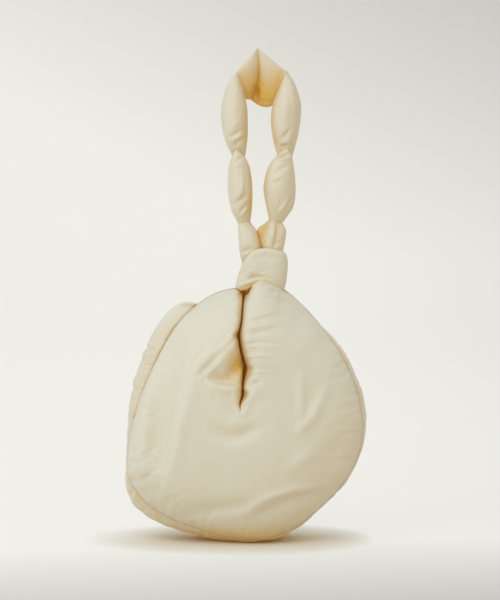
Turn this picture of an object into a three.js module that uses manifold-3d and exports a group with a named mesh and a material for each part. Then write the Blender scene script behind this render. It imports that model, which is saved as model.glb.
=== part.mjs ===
// A padded knot bag: a round, quilt-soft body closed by passing a long handle through a short loop.
// Millimetres, +Z up, front of the bag towards -Y. The origin is on the floor under the middle of the body.
import * as THREE from "three";
import { mergeVertices } from "three/addons/utils/BufferGeometryUtils.js";
import Module from "manifold-3d";

const wasm = await Module();
wasm.setup();

// Body: two domed panels joined round the bottom and sides by a padded gusset
const bodyWidth = 276;
const bodyHeight = 289;
const bodyDepth = 150;
const rightFullestHeight = 126;
const leftFullestHeight = 96;
const neckLeft = 18;
const neckRight = 50;
const gussetWidth = 64;
const gussetSwell = 9;
const leftFlare = 10;
const leftFlareStart = 160;
const leftFlareHeight = 90;
const floorSag = 6;
const neckMouth = 28;
const leftOpeningDrop = 22;
const rightOpeningDrop = 32;

// Slit: the folded neckline down the middle of each panel, with the lobes rolling in on both sides
const slitOffset = -4;
const slitWidth = 7;
const slitLength = 141;
const valleyDepth = 16;
const valleyHalfWidth = 12;

// Layers of the padded wall, from the outside in
const coverThickness = 1;
const waddingThickness = 10;
const liningThickness = 0.8;
const layerGap = 0.3;
const seamGap = 0.3;

// Knot: the short handle, a padded loop round both necks of the long handle
const knotOffset = 20;
const knotHeight = 42;
const knotLeftHeight = 30;
const knotThickness = 10;
const knotSeat = 0.3;
const neckWidth = 18;
const neckDepth = 24;
const neckGap = 0.8;
const neckClearance = 0.4;
const neckTuck = 16;
const neckRise = 3;
const neckTaper = 11;

// Long handle: a stuffed strap sewn across into cells, which hinge on the sewn lines
const handleOffset = 14.8;
const cellWall = 0.6;
const fillingGap = 0.3;
const pinchThickness = 2;
const pinchWidth = 17;
const foldGap = 0.9;
const cellGap = 0.6;
const baseLength = 30;
const baseDepth = 28;
const leftBaseWidth = 19;
const rightBaseWidth = 31;
const lowerLength = 79;
const lowerDepth = 42;
const leftLowerWidth = 28;
const rightLowerWidth = 34;
const lowerLoopGap = 12;
const lowerPinchGap = 18;
const upperLength = 88;
const upperDepth = 44;
const leftUpperWidth = 32;
const rightUpperWidth = 34;
const upperLoopGap = 26;
const upperPinchGap = 36;
const crownPinchGap = 22;
const crownRise = 19;
const crownWidth = 24;
const crownDepth = 46;
const crownPeakWidth = 14;
const crownTilt = THREE.MathUtils.degToRad(32);

// Facets: how finely the soft surfaces are divided
const sideSteps = 13;
const shoulderSteps = 4;
const neckSteps = 4;
const domeRings = 7;
const gussetSteps = 4;
const cellSides = 10;
const cellSteps = 7;
const knotSides = 10;
const knotSteps = 24;

// Fullness of the curves: 0.55 draws a quarter of an ellipse, more draws it squarer
const roundHandle = 0.55;
const fullHandle = 0.72;
const shoulderSlope = 0.12;
const domeRoundness = 2.5;
const domePower = 0.54;
const cellPower = 0.72;

// Heights that follow from the sizes above
const seamHalfWidth = bodyWidth / 2 - gussetSwell;
const seamFloor = gussetSwell - floorSag;
const knotBottom = bodyHeight + knotSeat;
const knotTop = knotBottom + knotHeight;
const baseFoldHeight = knotTop + neckRise;
const lowerFoldHeight = baseFoldHeight + baseLength;
const upperFoldHeight = lowerFoldHeight + lowerLength;
const crownFoldHeight = upperFoldHeight + upperLength;

const shellFabric = new THREE.MeshStandardMaterial({ color: 0xe9e1c8, roughness: 0.62, metalness: 0 });
const liningFabric = new THREE.MeshStandardMaterial({ color: 0xe2d8bb, roughness: 0.7, metalness: 0 });
const fibreWadding = new THREE.MeshStandardMaterial({ color: 0xf4f2ea, roughness: 0.95, metalness: 0 });

const bag = new THREE.Group();

function addMesh(name, geometry, material) {
  const mesh = new THREE.Mesh(geometry, material);
  mesh.name = name;
  bag.add(mesh);
}

// A closed triangle mesh from points and triangles of point numbers.
function closedMesh(points, triangles) {
  const geometry = new THREE.BufferGeometry().setFromPoints(points);
  geometry.setIndex(triangles);
  return geometry;
}

// Two triangles for the four corners of a facet, seen from outside in anticlockwise order.
function pushFacet(triangles, a, b, c, d) {
  triangles.push(a, b, c, a, c, d);
}

function toSolid(geometry) {
  const bare = geometry.clone();
  bare.deleteAttribute("normal");
  bare.deleteAttribute("uv");
  const merged = mergeVertices(bare, 1e-4);
  const vertProperties = merged.attributes.position.array;
  const triVerts = new Uint32Array(merged.index.array);
  return new wasm.Manifold(new wasm.Mesh({ numProp: 3, vertProperties, triVerts }));
}

function toGeometry(solid) {
  const mesh = solid.getMesh();
  const geometry = new THREE.BufferGeometry();
  geometry.setAttribute("position", new THREE.BufferAttribute(mesh.vertProperties, 3));
  geometry.setIndex(new THREE.BufferAttribute(mesh.triVerts, 1));
  return geometry;
}

// Body outline

// The seam line between a panel and the gusset, seen from the front: x and z, anticlockwise from the floor.
function seamCurves() {
  const rightLow = rightFullestHeight - seamFloor;
  const rightHigh = bodyHeight - rightFullestHeight;
  const leftLow = leftFullestHeight - seamFloor;
  const leftHigh = bodyHeight - leftFullestHeight;
  const leftWide = seamHalfWidth - neckLeft;
  const rightWide = seamHalfWidth - neckRight;
  const point = (x, z) => new THREE.Vector2(x, z);
  const lowerRight = new THREE.CubicBezierCurve(
    point(0, seamFloor),
    point(seamHalfWidth * roundHandle, seamFloor),
    point(seamHalfWidth, rightFullestHeight - rightLow * roundHandle),
    point(seamHalfWidth, rightFullestHeight),
  );
  const upperRight = new THREE.CubicBezierCurve(
    point(seamHalfWidth, rightFullestHeight),
    point(seamHalfWidth, rightFullestHeight + rightHigh * roundHandle),
    point(neckRight + rightWide * roundHandle, bodyHeight - rightHigh * shoulderSlope),
    point(neckRight, bodyHeight),
  );
  const upperLeft = new THREE.CubicBezierCurve(
    point(-neckLeft, bodyHeight),
    point(-neckLeft - leftWide * roundHandle, bodyHeight - leftHigh * shoulderSlope),
    point(-seamHalfWidth, leftFullestHeight + leftHigh * roundHandle),
    point(-seamHalfWidth, leftFullestHeight),
  );
  const lowerLeft = new THREE.CubicBezierCurve(
    point(-seamHalfWidth, leftFullestHeight),
    point(-seamHalfWidth, leftFullestHeight - leftLow * fullHandle),
    point(-seamHalfWidth * roundHandle, seamFloor),
    point(0, seamFloor),
  );
  return { lowerRight, upperRight, upperLeft, lowerLeft };
}

// Where a rising or falling curve passes a height, as the curve's own parameter.
function parameterAtHeight(curve, height) {
  const rising = curve.getPoint(1).y > curve.getPoint(0).y;
  let low = 0;
  let high = 1;
  for (let halving = 0; halving < 40; halving += 1) {
    const middle = (low + high) / 2;
    if (curve.getPoint(middle).y < height === rising) low = middle;
    else high = middle;
  }
  return (low + high) / 2;
}

function stretch(curve, from, to, steps) {
  return Array.from({ length: steps }, (_, i) => curve.getPoint(from + ((to - from) * i) / steps));
}

// Seam points in order, with the numbers of the two points where the gusset ends.
function seamLine() {
  const { lowerRight, upperRight, upperLeft, lowerLeft } = seamCurves();
  const rightEnd = parameterAtHeight(upperRight, bodyHeight - rightOpeningDrop);
  const leftEnd = parameterAtHeight(upperLeft, bodyHeight - leftOpeningDrop);
  const lowSteps = Math.floor(sideSteps / 2);
  const highSteps = sideSteps - lowSteps;
  const neckLine = new THREE.LineCurve(upperRight.getPoint(1), upperLeft.getPoint(0));
  const points = [
    ...stretch(lowerRight, 0, 1, lowSteps),
    ...stretch(upperRight, 0, rightEnd, highSteps),
    ...stretch(upperRight, rightEnd, 1, shoulderSteps),
    ...stretch(neckLine, 0, 1, neckSteps),
    ...stretch(upperLeft, 0, leftEnd, shoulderSteps),
    ...stretch(upperLeft, leftEnd, 1, highSteps),
    ...stretch(lowerLeft, 0, 1, lowSteps),
  ];
  const gussetRight = sideSteps;
  const gussetLeft = points.length - sideSteps;
  return { points, gussetRight, gussetLeft };
}

const seam = seamLine();
const bodyCentre = new THREE.Vector2(0, bodyHeight / 2);

// Half the distance between the front and back seams, which draw together towards the knot.
function halfGusset(height) {
  const wideUpTo = (rightFullestHeight + bodyHeight) / 2;
  const draw = THREE.MathUtils.smoothstep(height, wideUpTo - bodyHeight / 8, bodyHeight);
  return THREE.MathUtils.lerp(gussetWidth / 2, neckMouth / 2, draw);
}

// A point of the front dome. Inset moves it into the wall, at the rim as at the crown.
function domePoint(seamPoint, share, inset) {
  const reach = seamPoint.clone().sub(bodyCentre);
  const outside = bodyCentre.clone().addScaledVector(reach, share);
  const place = bodyCentre.clone().addScaledVector(reach, share * (1 - inset / reach.length()));
  const rim = halfGusset(seamPoint.y);
  const rise = (1 - share ** domeRoundness) ** domePower;
  const slitBottom = bodyHeight - slitLength;
  const across = (outside.x - slitOffset) / valleyHalfWidth;
  const valleyStart = slitBottom - valleyHalfWidth;
  const along = THREE.MathUtils.smoothstep(outside.y, valleyStart, valleyStart + 3 * valleyHalfWidth);
  const valley = valleyDepth * Math.exp(-across * across) * along;
  const depth = rim + (bodyDepth / 2 - inset - rim - valley) * rise;
  return new THREE.Vector3(place.x, -depth, place.y);
}

// Slot that opens a panel along its slit, round at the bottom, through the whole front half of the bag.
function slitCutter() {
  const radius = slitWidth / 2;
  const bottom = bodyHeight - slitLength;
  const top = bodyHeight + slitWidth;
  const outline = new THREE.Shape();
  outline.moveTo(slitOffset + radius, bottom + radius);
  outline.lineTo(slitOffset + radius, top);
  outline.lineTo(slitOffset - radius, top);
  outline.lineTo(slitOffset - radius, bottom + radius);
  outline.absarc(slitOffset, bottom + radius, radius, Math.PI, 2 * Math.PI, false);
  const settings = { depth: bodyDepth, bevelEnabled: false, curveSegments: 4 };
  const slot = new THREE.ExtrudeGeometry(outline, settings);
  return toSolid(slot.rotateX(Math.PI / 2));
}

// One layer of the front panel, between two insets into the wall, with its slit cut open.
function frontLayer(outerInset, innerInset) {
  const count = seam.points.length;
  const points = [];
  const triangles = [];
  const quarterTurn = (k) => Math.sin((((k + 1) / domeRings) * Math.PI) / 2);
  const ringShares = Array.from({ length: domeRings }, (_, k) => quarterTurn(k));
  for (const inset of [outerInset, innerInset]) {
    points.push(domePoint(seam.points[0], 0, inset));
    for (const share of ringShares) {
      for (const seamPoint of seam.points) points.push(domePoint(seamPoint, share, inset));
    }
  }
  const surfaceSize = 1 + domeRings * count;
  const at = (surface, ring, i) => surface * surfaceSize + 1 + ring * count + (i % count);
  for (let i = 0; i < count; i += 1) {
    triangles.push(0, at(0, 0, i), at(0, 0, i + 1));
    triangles.push(surfaceSize, at(1, 0, i + 1), at(1, 0, i));
    for (let ring = 0; ring < domeRings - 1; ring += 1) {
      pushFacet(triangles, at(0, ring, i), at(0, ring + 1, i), at(0, ring + 1, i + 1), at(0, ring, i + 1));
      pushFacet(triangles, at(1, ring, i), at(1, ring, i + 1), at(1, ring + 1, i + 1), at(1, ring + 1, i));
    }
    const rim = domeRings - 1;
    pushFacet(triangles, at(0, rim, i), at(1, rim, i), at(1, rim, i + 1), at(0, rim, i + 1));
  }
  return toSolid(closedMesh(points, triangles)).subtract(slitCutter());
}

// The wadding of a panel, cut into three pads: one in each lobe beside the slit and one below them.
function waddingPads(panel) {
  const cutHeight = bodyHeight - slitLength + slitWidth / 2;
  const lobes = panel.trimByPlane([0, 0, 1], cutHeight + seamGap / 2);
  return {
    left: lobes.trimByPlane([-1, 0, 0], -slitOffset),
    right: lobes.trimByPlane([1, 0, 0], slitOffset),
    lower: panel.trimByPlane([0, 0, -1], seamGap / 2 - cutHeight),
  };
}

// How far the gusset stands out past its seams. It flares at the left shoulder, where the knot pulls on it.
function gussetBulge(seamPoint) {
  if (seamPoint.x > 0) return gussetSwell;
  const risen = THREE.MathUtils.smoothstep(seamPoint.y - leftFlareStart, 0, leftFlareHeight);
  return gussetSwell + leftFlare * risen;
}

// One layer of the gusset: a padded strip that stands out between its seams and lies flat on the floor.
function gussetLayer(outerInset, innerInset) {
  const strip = [...seam.points.slice(seam.gussetLeft), ...seam.points.slice(0, seam.gussetRight + 1)];
  const points = [];
  for (const inset of [outerInset, innerInset]) {
    strip.forEach((seamPoint, i) => {
      const before = strip[Math.max(i - 1, 0)];
      const after = strip[Math.min(i + 1, strip.length - 1)];
      const outward = new THREE.Vector2(after.y - before.y, before.x - after.x).normalize();
      const inward = bodyCentre.clone().sub(seamPoint).normalize();
      const halfWidth = halfGusset(seamPoint.y) - seamGap;
      const bulge = gussetBulge(seamPoint);
      for (let j = 0; j <= gussetSteps; j += 1) {
        const across = (2 * j) / gussetSteps - 1;
        const place = seamPoint.clone().addScaledVector(outward, bulge * (1 - across * across));
        place.addScaledVector(inward, inset);
        points.push(new THREE.Vector3(place.x, across * halfWidth, Math.max(place.y, inset)));
      }
    });
  }
  const row = gussetSteps + 1;
  const last = strip.length - 1;
  const at = (surface, i, j) => surface * strip.length * row + i * row + j;
  const triangles = [];
  for (let i = 0; i < last; i += 1) {
    for (let j = 0; j < gussetSteps; j += 1) {
      pushFacet(triangles, at(0, i, j), at(0, i, j + 1), at(0, i + 1, j + 1), at(0, i + 1, j));
      pushFacet(triangles, at(1, i, j), at(1, i + 1, j), at(1, i + 1, j + 1), at(1, i, j + 1));
    }
    const far = gussetSteps;
    pushFacet(triangles, at(0, i, 0), at(0, i + 1, 0), at(1, i + 1, 0), at(1, i, 0));
    pushFacet(triangles, at(0, i, far), at(1, i, far), at(1, i + 1, far), at(0, i + 1, far));
  }
  for (let j = 0; j < gussetSteps; j += 1) {
    pushFacet(triangles, at(0, 0, j), at(1, 0, j), at(1, 0, j + 1), at(0, 0, j + 1));
    pushFacet(triangles, at(0, last, j), at(0, last, j + 1), at(1, last, j + 1), at(1, last, j));
  }
  return closedMesh(points, triangles);
}

const coverInset = coverThickness;
const waddingInset = coverInset + layerGap;
const waddingInner = waddingInset + waddingThickness;
const liningInset = waddingInner + layerGap;
const liningInner = liningInset + liningThickness;
const fabricLayers = [
  { layer: "cover", from: 0, to: coverInset, material: shellFabric },
  { layer: "lining", from: liningInset, to: liningInner, material: liningFabric },
];

for (const { layer, from, to, material } of fabricLayers) {
  const front = frontLayer(from, to);
  addMesh(`front_${layer}`, toGeometry(front), material);
  addMesh(`back_${layer}`, toGeometry(front.mirror([0, 1, 0])), material);
  addMesh(`gusset_${layer}`, gussetLayer(from, to), material);
}

const pads = waddingPads(frontLayer(waddingInset, waddingInner));
for (const [side, pad] of Object.entries(pads)) {
  addMesh(`front_${side}_wadding`, toGeometry(pad), fibreWadding);
  addMesh(`back_${side}_wadding`, toGeometry(pad.mirror([0, 1, 0])), fibreWadding);
}
addMesh("gusset_wadding", gussetLayer(waddingInset, waddingInner), fibreWadding);

// Tubes of oval rings

// An oval ring of points about a centre, with its width and depth directions.
function ovalRing(centre, widthWay, depthWay, halfWidth, halfDepth, sides) {
  return Array.from({ length: sides }, (_, i) => {
    const angle = (2 * Math.PI * i) / sides;
    const place = centre.clone().addScaledVector(widthWay, halfWidth * Math.cos(angle));
    return place.addScaledVector(depthWay, halfDepth * Math.sin(angle));
  });
}

// Side facets between rings, numbered from a first point on. Turned facets face the inside of the tube.
function pushTube(triangles, first, rings, sides, turned) {
  for (let ring = 0; ring < rings - 1; ring += 1) {
    for (let i = 0; i < sides; i += 1) {
      const next = (i + 1) % sides;
      const low = first + ring * sides;
      const high = low + sides;
      if (turned) pushFacet(triangles, low + i, high + i, high + next, low + next);
      else pushFacet(triangles, low + i, low + next, high + next, high + i);
    }
  }
}

// A solid through a row of rings, closed by flat ends.
function solidTube(rings) {
  const sides = rings[0].length;
  const triangles = [];
  pushTube(triangles, 0, rings.length, sides, false);
  const top = (rings.length - 1) * sides;
  for (let i = 1; i < sides - 1; i += 1) {
    triangles.push(0, i + 1, i);
    triangles.push(top, top + i, top + i + 1);
  }
  return closedMesh(rings.flat(), triangles);
}

// A thin wall between outer and inner rings, open at both ends.
function hollowTube(outerRings, innerRings) {
  const sides = outerRings[0].length;
  const inner = outerRings.length * sides;
  const top = (outerRings.length - 1) * sides;
  const triangles = [];
  pushTube(triangles, 0, outerRings.length, sides, false);
  pushTube(triangles, inner, innerRings.length, sides, true);
  for (let i = 0; i < sides; i += 1) {
    const next = (i + 1) % sides;
    pushFacet(triangles, i, inner + i, inner + next, next);
    pushFacet(triangles, top + i, top + next, inner + top + next, inner + top + i);
  }
  return closedMesh([...outerRings.flat(), ...innerRings.flat()], triangles);
}

// Knot loop and the necks of the long handle that pass through it

const neckCentre = neckGap / 2 + neckWidth / 2;
const neckPinchGap = neckGap + neckWidth - pinchWidth;

// The loop lies round both necks like a belt round two rollers, taller on its right than on its left.
function knotLoop() {
  const innerWidth = neckWidth / 2 + neckClearance;
  const innerDepth = neckDepth / 2 + neckClearance;
  const points = [];
  for (let step = 0; step < knotSteps; step += 1) {
    const turn = (2 * Math.PI * (step + 0.5)) / knotSteps;
    const middle = knotOffset + Math.sign(Math.cos(turn)) * neckCentre;
    const leftness = (1 - Math.cos(turn)) / 2;
    const height = THREE.MathUtils.lerp(knotHeight, knotLeftHeight, leftness * leftness);
    for (let i = 0; i < knotSides; i += 1) {
      const angle = (2 * Math.PI * i) / knotSides;
      const swell = Math.max(0, Math.cos(angle)) * knotThickness;
      const x = middle + (innerWidth + swell) * Math.cos(turn);
      const y = (innerDepth + swell) * Math.sin(turn);
      const rise = Math.sign(Math.sin(angle)) * Math.abs(Math.sin(angle)) ** 0.6;
      points.push(new THREE.Vector3(x, y, knotBottom + (height * (1 + rise)) / 2));
    }
  }
  const triangles = [];
  for (let step = 0; step < knotSteps; step += 1) {
    for (let i = 0; i < knotSides; i += 1) {
      const next = (i + 1) % knotSides;
      const here = step * knotSides;
      const ahead = ((step + 1) % knotSteps) * knotSides;
      pushFacet(triangles, here + i, ahead + i, ahead + next, here + next);
    }
  }
  return closedMesh(points, triangles);
}

const acrossHandle = new THREE.Vector3(1, 0, 0);
const throughHandle = new THREE.Vector3(0, 1, 0);

// A neck runs straight through the knot, then tapers to the sewn line that the base cell folds on.
function neck(x) {
  const heights = [bodyHeight - neckTuck, baseFoldHeight - neckTaper, baseFoldHeight - foldGap / 2];
  const halfDepths = [neckDepth / 2, neckDepth / 2, pinchThickness / 2];
  const halfWidths = [neckWidth / 2, neckWidth / 2, pinchWidth / 2];
  return solidTube(heights.map((height, i) => {
    const centre = new THREE.Vector3(x, 0, height);
    return ovalRing(centre, acrossHandle, throughHandle, halfWidths[i], halfDepths[i], 2 * cellSides);
  }));
}

// Handle cells

// A cell of the stuffed strap: an open-ended cover with its filling, from a function that gives its rings.
// The filling stops one ring short of a sewn end, and runs right up to the crown's folded peak.
function addCell(name, ringAt, peaked = false) {
  const shares = Array.from({ length: cellSteps + 1 }, (_, i) => i / cellSteps);
  const outer = shares.map((share) => ringAt(share, 0));
  const inner = shares.map((share) => ringAt(share, cellWall));
  const stuffed = shares.slice(1, peaked ? undefined : -1);
  const filling = stuffed.map((share) => ringAt(share, cellWall + fillingGap));
  addMesh(`${name}_cell`, hollowTube(outer, inner), shellFabric);
  addMesh(`${name}_filling`, solidTube(filling), fibreWadding);
}

// How full a cell is along its length: nothing at the sewn ends, one in the middle.
function fullness(share) {
  return Math.max(0, Math.sin(Math.PI * share)) ** cellPower;
}

// Cells of the two strands at one height. Their inner edges keep the loop's gap open between them.
function addStrandPair(name, level) {
  const bottom = level.foldBelow + foldGap / 2;
  const top = level.foldAbove - foldGap / 2;
  const squeeze = (level.gapBelow + level.gapAbove) / 2 - level.gapMiddle;
  for (const { side, way, width } of [
    { side: "left", way: -1, width: level.leftWidth },
    { side: "right", way: 1, width: level.rightWidth },
  ]) {
    addCell(`${side}_${name}`, (share, inset) => {
      const full = fullness(share);
      const halfWidth = THREE.MathUtils.lerp(pinchWidth, width, full) / 2;
      const halfDepth = THREE.MathUtils.lerp(pinchThickness, level.depth, full) / 2;
      const openGap = THREE.MathUtils.lerp(level.gapBelow, level.gapAbove, share) - squeeze * full;
      const middle = THREE.MathUtils.lerp(level.middleBelow, level.middleAbove, share);
      const x = middle + way * (Math.max(openGap, cellGap) / 2 + halfWidth);
      const centre = new THREE.Vector3(x, 0, THREE.MathUtils.lerp(bottom, top, share));
      return ovalRing(centre, acrossHandle, throughHandle, halfWidth - inset, halfDepth - inset, cellSides);
    });
  }
}

// The crown's two cells rise from the strands and meet at the peak, with the back edge hanging lower.
function addCrown() {
  const bottom = crownFoldHeight + foldGap / 2;
  for (const { side, way } of [{ side: "left", way: -1 }, { side: "right", way: 1 }]) {
    const start = new THREE.Vector3(handleOffset + way * (crownPinchGap / 2 + pinchWidth / 2), 0, bottom);
    const peak = new THREE.Vector3(handleOffset + (way * cellGap) / 2, 0, crownFoldHeight + crownRise);
    addCell(`crown_${side}`, (share, inset) => {
      const full = fullness(share / 2);
      const thinWidth = THREE.MathUtils.lerp(pinchWidth, crownPeakWidth, share);
      const swell = Math.sin(Math.PI * share) * (crownWidth - (pinchWidth + crownPeakWidth) / 2);
      const halfWidth = (thinWidth + swell) / 2;
      const halfDepth = THREE.MathUtils.lerp(pinchThickness, crownDepth, full) / 2;
      const turn = (share * Math.PI) / 2;
      const ahead = new THREE.Vector3(-way * Math.sin(turn), 0, Math.cos(turn));
      const widthWay = new THREE.Vector3(Math.cos(turn), 0, way * Math.sin(turn));
      const tilt = way * crownTilt * share;
      widthWay.applyAxisAngle(ahead, tilt);
      const depthWay = throughHandle.clone().applyAxisAngle(ahead, tilt);
      const centre = start.clone().lerp(peak, share);
      return ovalRing(centre, widthWay, depthWay, halfWidth - inset, halfDepth - inset, cellSides);
    }, true);
  }
}

addMesh("knot_loop", knotLoop(), shellFabric);
addMesh("left_neck", neck(knotOffset - neckCentre), shellFabric);
addMesh("right_neck", neck(knotOffset + neckCentre), shellFabric);
addStrandPair("base", {
  foldBelow: baseFoldHeight,
  foldAbove: lowerFoldHeight,
  middleBelow: knotOffset,
  middleAbove: handleOffset,
  gapBelow: neckPinchGap,
  gapMiddle: cellGap,
  gapAbove: lowerPinchGap,
  leftWidth: leftBaseWidth,
  rightWidth: rightBaseWidth,
  depth: baseDepth,
});
addStrandPair("lower", {
  foldBelow: lowerFoldHeight,
  foldAbove: upperFoldHeight,
  middleBelow: handleOffset,
  middleAbove: handleOffset,
  gapBelow: lowerPinchGap,
  gapMiddle: lowerLoopGap,
  gapAbove: upperPinchGap,
  leftWidth: leftLowerWidth,
  rightWidth: rightLowerWidth,
  depth: lowerDepth,
});
addStrandPair("upper", {
  foldBelow: upperFoldHeight,
  foldAbove: crownFoldHeight,
  middleBelow: handleOffset,
  middleAbove: handleOffset,
  gapBelow: upperPinchGap,
  gapMiddle: upperLoopGap,
  gapAbove: crownPinchGap,
  leftWidth: leftUpperWidth,
  rightWidth: rightUpperWidth,
  depth: upperDepth,
});
addCrown();

export default bag;
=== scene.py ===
import bpy
import math
import numpy as np
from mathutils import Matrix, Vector


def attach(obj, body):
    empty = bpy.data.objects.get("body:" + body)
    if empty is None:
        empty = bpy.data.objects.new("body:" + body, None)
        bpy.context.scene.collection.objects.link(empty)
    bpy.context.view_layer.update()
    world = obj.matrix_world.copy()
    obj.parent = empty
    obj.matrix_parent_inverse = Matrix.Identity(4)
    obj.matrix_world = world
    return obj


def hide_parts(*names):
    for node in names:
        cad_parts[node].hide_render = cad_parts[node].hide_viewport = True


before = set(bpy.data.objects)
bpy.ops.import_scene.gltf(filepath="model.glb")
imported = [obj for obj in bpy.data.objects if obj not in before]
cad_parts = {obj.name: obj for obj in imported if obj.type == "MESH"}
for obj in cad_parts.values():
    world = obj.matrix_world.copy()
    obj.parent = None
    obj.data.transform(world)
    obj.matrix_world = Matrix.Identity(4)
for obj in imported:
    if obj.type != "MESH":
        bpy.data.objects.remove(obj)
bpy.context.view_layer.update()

scene = bpy.context.scene
mm = 0.001
viewTilt = math.radians(4.0)  # how far the camera looks down
print("frame loaded,", len(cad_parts), "nodes")


# Hands: picking, reading and moving points

def pickOnly(obj):
    bpy.ops.object.select_all(action="DESELECT")
    obj.select_set(True)
    bpy.context.view_layer.objects.active = obj


def readPoints(obj, kind="co"):
    flat = np.empty(len(obj.data.vertices) * 3)
    obj.data.vertices.foreach_get(kind, flat)
    return flat.reshape(-1, 3)


def writePoints(obj, points):
    obj.data.vertices.foreach_set("co", np.ascontiguousarray(points).ravel())
    obj.data.update()


def readNormals(obj):
    return readPoints(obj, "normal")


def newGrid(name, columns, rows):  # a flat grid whose x and y run from 0 to 1
    bpy.ops.object.select_all(action="DESELECT")
    bpy.ops.mesh.primitive_grid_add(x_subdivisions=columns, y_subdivisions=rows, size=1)
    obj = bpy.context.object
    obj.name = name
    obj.data.name = name
    points = readPoints(obj)
    return obj, points[:, 0] + 0.5, points[:, 1] + 0.5


def editMesh(obj, *steps):  # runs mesh operators on the whole piece, as by hand
    pickOnly(obj)
    bpy.ops.object.mode_set(mode="EDIT")
    bpy.ops.mesh.select_all(action="SELECT")
    for step in steps:
        step()
    bpy.ops.object.mode_set(mode="OBJECT")


def mergeDoubles(distance=0.00002):
    return lambda: bpy.ops.mesh.remove_doubles(threshold=distance)


def facesOut():
    return lambda: bpy.ops.mesh.normals_make_consistent(inside=False)


def closeEnds():
    def step():
        bpy.ops.mesh.select_all(action="DESELECT")
        bpy.ops.mesh.select_non_manifold()
        bpy.ops.mesh.fill_holes(sides=0)
        bpy.ops.mesh.select_all(action="SELECT")
    return step


def applyModifier(obj, kind, **settings):
    pickOnly(obj)
    modifier = obj.modifiers.new(kind.lower(), kind)
    for key, value in settings.items():
        setattr(modifier, key, value)
    bpy.ops.object.modifier_apply(modifier=modifier.name)


def smoother(obj):  # four faces for each one
    applyModifier(obj, "SUBSURF", levels=1, render_levels=1)


def readAttribute(obj, name):
    values = np.empty(len(obj.data.vertices), dtype=np.float32)
    obj.data.attributes[name].data.foreach_get("value", values)
    return values


def giveAttribute(obj, name, values):
    layer = obj.data.attributes.new(name, "FLOAT", "POINT")
    layer.data.foreach_set("value", np.ascontiguousarray(values, dtype=np.float32))


def giveCreases(obj, line, share):  # where the fine wrinkles of the material run, and how strong they are, in relief and in the painted shade of their bottoms
    giveAttribute(obj, "crease", line)
    giveAttribute(obj, "creaseShare", share)


# Lines: smooth curves through a few points

def lineThrough(points, steps=24):
    knots = np.array(points, float)
    ends = np.vstack([2 * knots[0] - knots[1], knots, 2 * knots[-1] - knots[-2]])
    t = np.linspace(0, 1, steps, endpoint=False)[:, None]
    rows = []
    for a, b, c, d in zip(ends[:-3], ends[1:-2], ends[2:-1], ends[3:]):
        bend = 2 * a - 5 * b + 4 * c - d
        turn = 3 * b - a - 3 * c + d
        rows.append(0.5 * (2 * b + (c - a) * t + bend * t ** 2 + turn * t ** 3))
    samples = np.vstack(rows + [knots[-1:]])
    strides = np.linalg.norm(np.diff(samples[:, :2], axis=0), axis=1)
    lengths = np.concatenate([[0], np.cumsum(strides)])
    shares = lengths / lengths[-1]
    return {"samples": samples, "shares": shares, "knots": shares[::steps], "length": lengths[-1]}


def along(line, share):
    return np.stack([np.interp(share, line["shares"], column) for column in line["samples"].T], axis=-1)


def readRows(rows, spot):  # each column of a table, at a place between its rows
    table = np.array(rows, float)
    return [np.interp(spot, table[:, 0], column) for column in table.T[1:]]


def easeStep(value, low, high):
    share = np.clip((value - low) / (high - low), 0, 1)
    return share * share * (3 - 2 * share)


def ripple(place, pitch, seed):  # an uneven wave of about one rise and fall in two pitches, from -1 to 1
    knots = np.random.default_rng(seed).uniform(-1, 1, 4096)
    spot = place / pitch + 512
    below = np.floor(spot).astype(int)
    share = spot - below
    share = share * share * (3 - 2 * share)
    return knots[below % 4096] * (1 - share) + knots[(below + 1) % 4096] * share


def lumps(x, z, size, seed):  # soft uneven swelling over a surface
    total = np.zeros_like(x)
    generator = np.random.default_rng(seed)
    for turn in generator.uniform(0, 2 * math.pi, 5):
        total += ripple(x * math.cos(turn) + z * math.sin(turn), size, int(generator.integers(1e6)))
    return total / 5


# Folds: ridges and valleys laid along a line on the front view

def viewHeight(points, facing=-1):  # the height at which the camera sees a point, level with the middle
    return points[:, 2] * math.cos(viewTilt) - facing * points[:, 1] * math.sin(viewTilt)


def foldHeight(x, z, fold):  # a fold is its rise, how wide it fades left and right of its path, then the path
    rise, (left, right), *path = fold
    line = lineThrough(path, 10)["samples"]
    best = np.full(x.shape, 1e9)
    signed = np.zeros_like(x)
    spot = np.zeros_like(x)
    total = len(line) - 1
    for i, (start, end) in enumerate(zip(line[:-1], line[1:])):
        run = end - start
        length = np.hypot(*run)
        share = np.clip(((x - start[0]) * run[0] + (z - start[1]) * run[1]) / length ** 2, 0, 1)
        offX = x - start[0] - share * run[0]
        offZ = z - start[1] - share * run[1]
        reach = np.hypot(offX, offZ)
        nearer = reach < best
        side = np.sign(run[0] * offZ - run[1] * offX)
        best = np.where(nearer, reach, best)
        signed = np.where(nearer, reach * side, signed)
        spot = np.where(nearer, (i + share) / total, spot)
    width = np.where(signed > 0, left, right)
    fade = np.sin(np.pi * np.clip(spot, 0.04, 0.96)) ** 0.7
    return rise * fade * np.exp(-(best / width) ** 2)


def foldSum(x, z, folds):  # all folds of a piece together
    return sum(foldHeight(x, z, fold) for fold in folds)


def strongestPaintedShade(x, z, paintedShades):  # painted warm shade is laid out like folds, and the strongest one counts
    return np.maximum.reduce([np.zeros_like(x)] + [foldHeight(x, z, paintedShadeMark) for paintedShadeMark in paintedShades])


# Cloth runs: pressure fills a piece whose sewn points stay put, at a size where cloth settles well

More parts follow.
